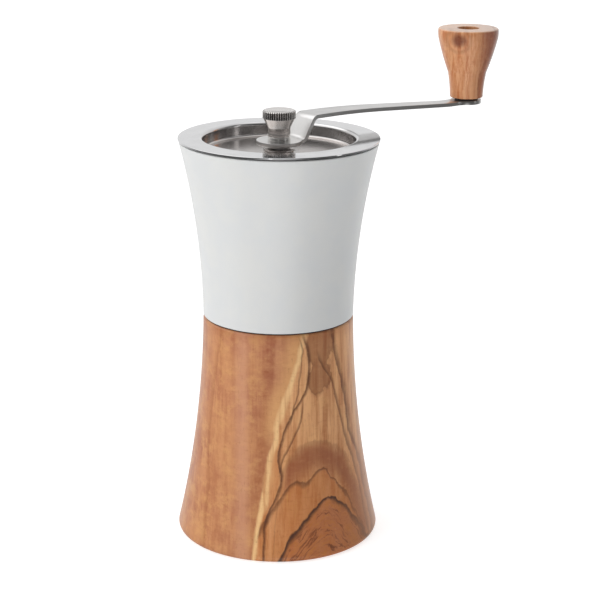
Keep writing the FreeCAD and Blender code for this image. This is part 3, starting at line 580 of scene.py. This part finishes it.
def burr_ceramic():
    """Sintered ceramic: pale, dry, with grey rubbed spots."""
    g = Graph("burr_ceramic")
    cloud = g.noise(g.stretch(0.22, 0.22, 0.22), 4.0, 0.6)
    grain = g.noise(g.stretch(2.4, 2.4, 2.4), 3.0, 0.6)
    colour = g.mix(g.step(cloud, 0.35, 0.7), shade(236, 231, 220), shade(214, 206, 190))
    colour = g.mix(g.step(grain, 0.62, 0.78, 0.0, 0.4), colour, shade(150, 140, 124))
    return g.finish(Base_Color=colour, Roughness=g.plus(0.52, g.times(grain, 0.2)),
                    Normal=g.bump(grain, 0.04, 0.6))


MATERIALS = {
    "olive_wood": olive_wood(),
    "knob_wood": knob_wood(),
    "white_shell": moulded("white_shell", shade(208, 209, 208), shade(205, 207, 208), 0.34, 2.2, 0.004,
                           coat=0.25),
    "white_liner": moulded("white_liner", shade(226, 225, 220), shade(216, 215, 210), 0.50, 3.0, 0.02),
    "black_nylon": moulded("black_nylon", shade(42, 42, 44), shade(54, 54, 56), 0.46, 3.4, 0.03),
    "seal_rubber": moulded("seal_rubber", shade(46, 44, 46), shade(58, 56, 58), 0.62, 3.0, 0.03),
    "burr_ceramic": burr_ceramic(),
    "polished_steel": steel("polished_steel", (0.82, 0.82, 0.83, 1.0), 0.08, "round", 3.0, 0.0008,
                            well_roughness=0.20),
    "satin_steel": steel("satin_steel", (0.72, 0.71, 0.70, 1.0), 0.30, "long", 7.0, 0.003),
    "turned_steel": steel("turned_steel", (0.78, 0.76, 0.74, 1.0), 0.16, "round", 6.0, 0.0015),
    "knurled_steel": steel("knurled_steel", (0.80, 0.775, 0.755, 1.0), 0.20, "round", 6.0, 0.0015,
                           knurled=True),
    "plain_steel": steel("plain_steel", (0.66, 0.66, 0.67, 1.0), 0.24, "round", 6.0, 0.010),
    "bush_brass": steel("bush_brass", (0.74, 0.55, 0.27, 1.0), 0.26, "round", 6.0, 0.010),
}

# ---- carried-over CAD nodes: finish and softened edges ----
SLOT_OF = {part["node"]: part["material_slot"] for part in frame["record"]["subparts"]}
SOFT_EDGE = {"crank_arm": 0.15, "arm_hub": 0.18, "adjust_dial": 0.25, "burr_housing": 0.2,
             "knob_axle": 0.12}
for name, node in NODES.items():
    node.data.materials.clear()
    node.data.materials.append(MATERIALS[SLOT_OF[name]])
    if name in SOFT_EDGE:
        weld = node.modifiers.new("weld", "WELD")
        weld.merge_threshold = 0.002 * MM
        soften = node.modifiers.new("soft_edges", "BEVEL")
        soften.width = SOFT_EDGE[name] * MM
        soften.segments = 3
        soften.limit_method = "ANGLE"
        soften.angle_limit = math.radians(38)
        soften.harden_normals = True
NODES["thumb_washer"].data.materials[0] = MATERIALS["turned_steel"]

# ---- wooden base ----
SEAM = span("base_cup")[1].z    # top of the base
WAIST = 32.0    # radius of base and shell at the seam
RING_SEAT_R, RING_SEAT_Z = 29.2, 81.0    # seat of the threaded ring in the mouth
CUP_R, CUP_FLOOR_Z = 25.6, 9.0    # room for the grounds
side = arc((44.0, 0.0), (35.75, 45.0), (WAIST, SEAM), 48)
clear_of_ends = [corner for corner in side[1:-1] if 4.0 < corner[1] < SEAM - 3.0]
base = turned("turned_base", [(0.0, 0.0, 0.0)]
              + edged([side[0]] + clear_of_ends + [side[-1]], 3.2, 2.4)
              + [(RING_SEAT_R, SEAM, 0.3), (RING_SEAT_R, RING_SEAT_Z, 0.0), (CUP_R, RING_SEAT_Z, 0.4),
                 (CUP_R, CUP_FLOOR_Z, 8.0), (0.0, CUP_FLOOR_Z, 0.0)], closed=False, segments=256)
stand_for(base, "base_cup", "base", MATERIALS["olive_wood"])

# ---- white shell ----
shell_low, shell_high = span("upper_shell")
SHELL_WALL = 2.6
LIP_R, LIP_FOOT_Z, LIP_TOP_Z = 20.0, 99.5, 101.6    # inward lip over the foot's recess
FOOT_RECESS_R = WAIST - SHELL_WALL
shell_side = [(WAIST, shell_low.z), (34.45, 133.0), (41.9, shell_high.z)]
outside = edged(arc(*shell_side, 56), 0.4, 1.7)
inside = [corner for corner in arc(*shell_side, 56, inset=SHELL_WALL) if corner[1] > 103.0][::-1]
inside[0] = (inside[0][0], shell_high.z, 0.6)
shell = turned("hopper_shell", outside + inside + [
    (inside[-1][0] - 0.1, LIP_TOP_Z, 0.0), (LIP_R, LIP_TOP_Z, 0.0), (LIP_R, LIP_FOOT_Z, 0.0),
    (FOOT_RECESS_R, LIP_FOOT_Z, 0.0), (FOOT_RECESS_R, shell_low.z, 0.0)], segments=256)
stand_for(shell, "upper_shell", "upper_body", MATERIALS["white_shell"])

# ---- lid ----
lid_low, lid_high = span("hopper_lid")
LID_T, LID_BORE_R = 0.8, 4.6
RIM_FALL = math.tan(math.radians(1.2))
floor_z, under_z = lid_low.z + LID_T, lid_low.z
rim_z, rim_r = 173.6, lid_high.x
well_top, under_rim_r = rim_z + RIM_FALL * (rim_r - LID_WELL_R), LID_WELL_R + LID_T
lid = turned("pressed_lid", [
    (LID_BORE_R, floor_z, 0.0), (LID_WELL_R, floor_z, 1.2), (LID_WELL_R, well_top, 1.6),
    (rim_r, rim_z, 0.25), (rim_r, rim_z - LID_T, 0.3), (under_rim_r, well_top - LID_T - 0.2, 0.8),
    (under_rim_r, under_z, 2.0), (LID_BORE_R, under_z, 0.0)], segments=256)
stand_for(lid, "hopper_lid", "lid", MATERIALS["polished_steel"])

# ---- thumb screw ----
NECK_R, THREAD_R, THREAD_END_Z = 4.8, 2.6, 181.5
KNURL_DEPTH = 0.42


def knurl(angle, radius, z):
    """Ridges with narrow grooves on the cap's side."""
    if radius < CAP_R - 0.05 or not KNURL_Z0 <= z <= KNURL_Z1:
        return 0.0
    return -KNURL_DEPTH * (0.5 - 0.5 * math.cos(angle * RIDGES)) ** 2


groove = [(NECK_R, 174.75, 0.0), (NECK_R - 0.2, 174.85, 0.0), (NECK_R - 0.2, 175.05, 0.0),
          (NECK_R, 175.15, 0.0)]
flare = arc((NECK_R, 177.5), (5.65, 179.5), (6.7, KNURL_Z0 - 0.05), 12)
rim = [(CAP_R, z, 0.0) for z in (KNURL_Z0, KNURL_Z0 + 0.1, KNURL_Z1 - 0.1, KNURL_Z1)]
crown = arc((CAP_R, KNURL_Z1 + 0.08), (CAP_R - 0.22, screw_high.z - 0.24),
            (CAP_R - 0.75, screw_high.z), 6)
DISH_Z = screw_high.z - 0.08
screw = turned("knurled_screw", [
    (0.0, THREAD_END_Z, 0.0), (THREAD_R, THREAD_END_Z, 0.0), (THREAD_R, screw_low.z, 0.2),
    (NECK_R, screw_low.z, 0.25)] + groove + flare + rim + crown + [
    (CAP_R - 1.6, screw_high.z, 0.0), (CAP_R - 1.8, DISH_Z, 0.0), (0.0, DISH_Z, 0.0)],
    closed=False, segments=RIDGES * 10, wave=knurl)
stand_for(screw, "thumb_screw", "thumb_screw_body", MATERIALS["knurled_steel"])

# ---- knob ----
knob_low, knob_high = span("knob")
foot, top = knob_low.z, knob_high.z
KNOB_FOOT_R, KNOB_BORE_R, RECESS_R, RECESS_DEPTH = 7.35, 2.9, 4.85, 5.0
NARROW = (8.6, top - 19.5)    # where the lower side turns into the flared one
FLARE_END, SIDE_END = (13.1, top - 4.9), (13.42, top - 0.9)
knob_side = arc((KNOB_FOOT_R, foot + 0.5), (7.7, foot + 5.5), NARROW, 10)
knob_side += arc(NARROW, (11.25, top - 11.75), FLARE_END, 14)[1:]
knob_side += arc(FLARE_END, (13.46, top - 2.4), SIDE_END, 5)[1:]
knob_side += arc(SIDE_END, (13.13, top - 0.22), (12.5, top), 5)[1:]
knob = turned("turned_knob", [
    (KNOB_BORE_R, foot, 0.0), (KNOB_FOOT_R, foot, 0.5)] + knob_side[1:] + [
    (RECESS_R, top, 0.4), (RECESS_R, top - RECESS_DEPTH, 0.2), (KNOB_BORE_R, top - RECESS_DEPTH, 0.0)],
    centre_x=(knob_low.x + knob_high.x) / 2, segments=160)
stand_for(knob, "knob", "knob_body", MATERIALS["knob_wood"])

# ---- burr spring: a wound coil shown in place of the CAD spring ----
spring_low, spring_high = span("burr_spring")
coil = helix("coil_spring", spring_low.z, spring_high.z, coil_r=5.3, wire_r=0.6, coils=5)
coil.data.materials.append(MATERIALS["plain_steel"])
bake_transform(coil)
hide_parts("burr_spring")


# ---- studio ----
def floor():
    """Pale paper that goes on past the view's edge, and that metal doesn't mirror."""
    half = 30.0
    bm = bmesh.new()
    signs = ((-1, -1), (1, -1), (1, 1), (-1, 1))
    bm.faces.new([bm.verts.new((RIGHT * a + AHEAD * b) * half) for a, b in signs])
    piece = as_object(bm, "studio_floor")
    g = Graph("floor_paper")
    speck = g.noise(g.stretch(0.02, 0.02, 0.02), 3.0, 0.6)
    colour = g.mix(speck, (0.53, 0.53, 0.53, 1.0), (0.55, 0.55, 0.55, 1.0))
    glow = g.mix(speck, WHITE, (0.98, 0.98, 0.98, 1.0))
    piece.data.materials.append(g.finish(Base_Color=colour, Roughness=0.9, Emission_Color=glow,
                                         Emission_Strength=0.71, Specular_IOR_Level=0.1))
    piece.visible_glossy = False


def lamp(name, place, width, height, power, colour, mirrored=False):
    """Softbox at a place given as (right, ahead, up) in metres, aimed at the object's middle."""
    light = bpy.data.lights.new(name, "AREA")
    light.shape = "RECTANGLE"
    light.size, light.size_y = width, height
    light.energy = power
    light.color = colour
    holder = bpy.data.objects.new(name, light)
    bpy.context.scene.collection.objects.link(holder)
    spot = RIGHT * place[0] + AHEAD * place[1] + UP * place[2]
    holder.location = spot
    holder.rotation_euler = (UP * 0.10 - spot).to_track_quat("-Z", "Y").to_euler()
    holder.visible_glossy = mirrored


def sky():
    """White behind the object, soft bright patches left, above and low in front, and dim sides."""
    world = bpy.data.worlds.new("studio")
    bpy.context.scene.world = world
    n = Nodes(world, "Generated")

    def towards(direction, start, end, low, high):
        """Smooth step of how nearly a ray points in the direction."""
        return n.step(n.along(direction), start, end, low, high)

    behind = towards(AHEAD * 0.94 + UP * 0.34, 0.05, 0.75, 0.08, 0.72)
    sides = towards(AHEAD * 0.94 + UP * 0.34, -0.6, 0.15, 0.0, 0.07)
    high_left = towards(RIGHT * -0.76 + AHEAD * 0.05 + UP * 0.65, 0.66, 0.97, 0.0, 0.95)
    high_left = n.times(high_left, towards(UP, 0.30, 0.50, 0.0, 1.0))
    low_front = towards(AHEAD * -0.80 + UP * -0.60, 0.84, 0.99, 0.0, 0.80)
    above = towards(AHEAD * -0.15 + UP * 0.99, 0.72, 0.97, 0.0, 0.60)
    bright = n.plus(n.plus(behind, sides), n.plus(n.plus(high_left, low_front), above))
    back = n.add("ShaderNodeBackground", {"Color": WHITE, "Strength": bright})
    n.add("ShaderNodeOutputWorld", {"Surface": back.outputs[0]})


floor()
sky()
lamp("key_left", (-1.22, -0.88, 0.65), 1.2, 1.4, 13.6, (1.0, 0.99, 0.975))
lamp("fill_right", (1.1, -1.0, 0.6), 0.8, 1.0, 0.3, (0.93, 0.96, 1.0))
lamp("overhead", (-0.1, 0.35, 1.3), 1.2, 1.2, 1.3, (1.0, 1.0, 1.0))
lamp("strip_front", (-0.18, -1.10, 0.30), 0.09, 0.9, 0.25, (1.0, 1.0, 1.0), mirrored=True)
lamp("strip_right", (0.95, -0.35, 0.35), 0.12, 0.9, 0.35, (1.0, 1.0, 1.0), mirrored=True)

# ---- camera, at the photo's angle ----
PITCH, YAW, ROLL = 0.291507, 0.0122533, 0.007819    # down, to the right, about the view; radians
EYE = AHEAD * -0.75244 + UP * 0.32856
camera = bpy.data.objects.new("camera", bpy.data.cameras.new("camera"))
bpy.context.scene.collection.objects.link(camera)
camera.data.sensor_width = 36.0
camera.data.lens = 110.4
camera.data.clip_start = 0.01
camera.data.clip_end = 50.0
level_way = AHEAD * math.cos(YAW) + RIGHT * math.sin(YAW)
view_way = level_way * math.cos(PITCH) - UP * math.sin(PITCH)
level = RIGHT * math.cos(YAW) - AHEAD * math.sin(YAW)
upward = level.cross(view_way)
right_way = level * math.cos(ROLL) + upward * math.sin(ROLL)
up_way = upward * math.cos(ROLL) - level * math.sin(ROLL)
turn = Matrix((right_way, up_way, -view_way)).transposed()
camera.matrix_world = Matrix.Translation(EYE) @ turn.to_4x4()
bpy.context.scene.camera = camera
bpy.context.scene.view_settings.view_transform = "Standard"
